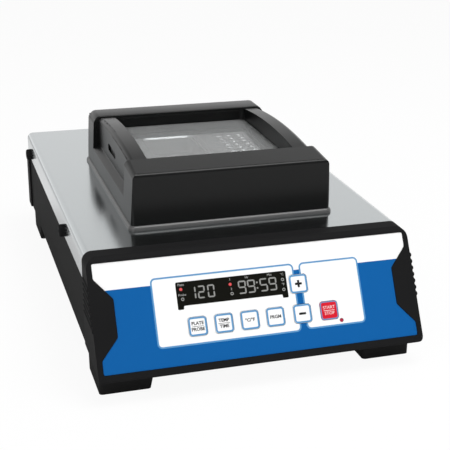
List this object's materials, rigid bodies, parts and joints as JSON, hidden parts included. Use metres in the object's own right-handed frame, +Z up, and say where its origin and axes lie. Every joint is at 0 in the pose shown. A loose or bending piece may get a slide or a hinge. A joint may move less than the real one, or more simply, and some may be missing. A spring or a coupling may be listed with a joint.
{
  "type": "dry bath incubator",
  "caption": "Bench dry bath incubator: sloped key panel and display, steel covered base on four feet, heated blocks with wells under a hinged hood with a window.",
  "frame": {"origin": "under the middle of the instrument, on the surface that it stands on", "axes": "+X to the right as seen from the control panel, +Y towards the rear, +Z up"},
  "size_m": [0.2488, 0.3874, 0.1406],
  "materials": {
    "brushed_steel": "fine brushed, satin",
    "painted_tray": "satin dark powder coat",
    "black_plastic": "fine moulded grain",
    "hood_plastic": "satin moulded",
    "panel_film": "printed polyester film",
    "white_key": "satin printed key",
    "red_key": "satin printed key",
    "smoked_window": "smoked, glossy",
    "hood_glass": "tinted, glossy",
    "aluminium_block": "machined, bead blasted",
    "electronics": "circuit board",
    "black_rubber": "matt",
    "zinc_steel": "zinc plated",
    "steel_core": "laminated, varnished",
    "insulation": "pressed mineral board",
    "red_lens": "clear tinted",
    "fuse_glass": "clear with metal caps"
  },
  "bodies": {
    "base": {"base_tray": "painted_tray", "top_cover": "brushed_steel", "cover_screws": "zinc_steel", "front_bezel": "black_plastic", "panel_overlay": "panel_film", "display_window": "smoked_window", "display_module": "black_plastic", "control_board": "electronics", "board_screws": "zinc_steel", "key_switches": "black_plastic", "status_led": "red_lens", "foot_screws": "zinc_steel", "heater_plate": "aluminium_block", "cartridge_heaters": "brushed_steel", "temperature_sensor": "brushed_steel", "insulation_pad": "insulation", "thermal_cutout": "black_plastic", "support_posts": "insulation", "well_liner": "brushed_steel", "dish_block": "aluminium_block", "tube_block": "aluminium_block", "well_collar": "black_plastic", "hinge_brackets": "zinc_steel", "hinge_pins": "zinc_steel", "rear_guard": "black_plastic", "rear_panel": "painted_tray", "power_inlet": "black_plastic", "power_switch": "black_plastic", "probe_jack": "zinc_steel", "board_standoffs": "zinc_steel", "power_board": "electronics", "driver_heatsink": "aluminium_block", "transformer": "steel_core", "foot_front_left": "black_plastic", "foot_front_right": "black_plastic", "foot_rear_left": "black_plastic", "foot_rear_right": "black_plastic"},
    "hood_assembly": {"hood": "hood_plastic", "hood_window": "hood_glass", "window_gasket": "black_rubber", "window_clips": "zinc_steel", "window_screws": "zinc_steel", "hood_bumpers": "black_rubber", "hinge_leaves": "zinc_steel"},
    "key_plate_probe_body": {"key_plate_probe": "white_key"},
    "key_temp_time_body": {"key_temp_time": "white_key"},
    "key_units_body": {"key_units": "white_key"},
    "key_program_body": {"key_program": "white_key"},
    "key_plus_body": {"key_plus": "white_key"},
    "key_minus_body": {"key_minus": "white_key"},
    "key_start_stop_body": {"key_start_stop": "red_key"},
    "fuse_carrier": {"fuse_drawer": "black_plastic", "fuse_link": "fuse_glass"},
    "rocker": {"switch_rocker": "black_plastic"}
  },
  "joints": [
    {"name": "hood_hinge", "type": "hinge", "parent": "base", "child": "hood_assembly", "pos_m": [0, 0.08595, 0.1027], "axis": [-1, 0, 0], "range_deg": [0, 100]},
    {"name": "key_plate_probe_press", "type": "slide", "parent": "base", "child": "key_plate_probe_body", "axis": [0, 0.8729, -0.4879], "range_m": [0, 0.0006], "stiffness_N_per_m": 2000},
    {"name": "key_temp_time_press", "type": "slide", "parent": "base", "child": "key_temp_time_body", "axis": [0, 0.8729, -0.4879], "range_m": [0, 0.0006], "stiffness_N_per_m": 2000},
    {"name": "key_units_press", "type": "slide", "parent": "base", "child": "key_units_body", "axis": [0, 0.8729, -0.4879], "range_m": [0, 0.0006], "stiffness_N_per_m": 2000},
    {"name": "key_program_press", "type": "slide", "parent": "base", "child": "key_program_body", "axis": [0, 0.8729, -0.4879], "range_m": [0, 0.0006], "stiffness_N_per_m": 2000},
    {"name": "key_plus_press", "type": "slide", "parent": "base", "child": "key_plus_body", "axis": [0, 0.8729, -0.4879], "range_m": [0, 0.0006], "stiffness_N_per_m": 2000},
    {"name": "key_minus_press", "type": "slide", "parent": "base", "child": "key_minus_body", "axis": [0, 0.8729, -0.4879], "range_m": [0, 0.0006], "stiffness_N_per_m": 2000},
    {"name": "key_start_stop_press", "type": "slide", "parent": "base", "child": "key_start_stop_body", "axis": [0, 0.8729, -0.4879], "range_m": [0, 0.0006], "stiffness_N_per_m": 2000},
    {"name": "fuse_drawer_slide", "type": "slide", "parent": "base", "child": "fuse_carrier", "axis": [0, 1, 0], "range_m": [0, 0.012]},
    {"name": "switch_rocker_tilt", "type": "hinge", "parent": "base", "child": "rocker", "pos_m": [-0.03, 0.17675, 0.046], "axis": [1, 0, 0], "range_deg": [-9, 9]}
  ]
}
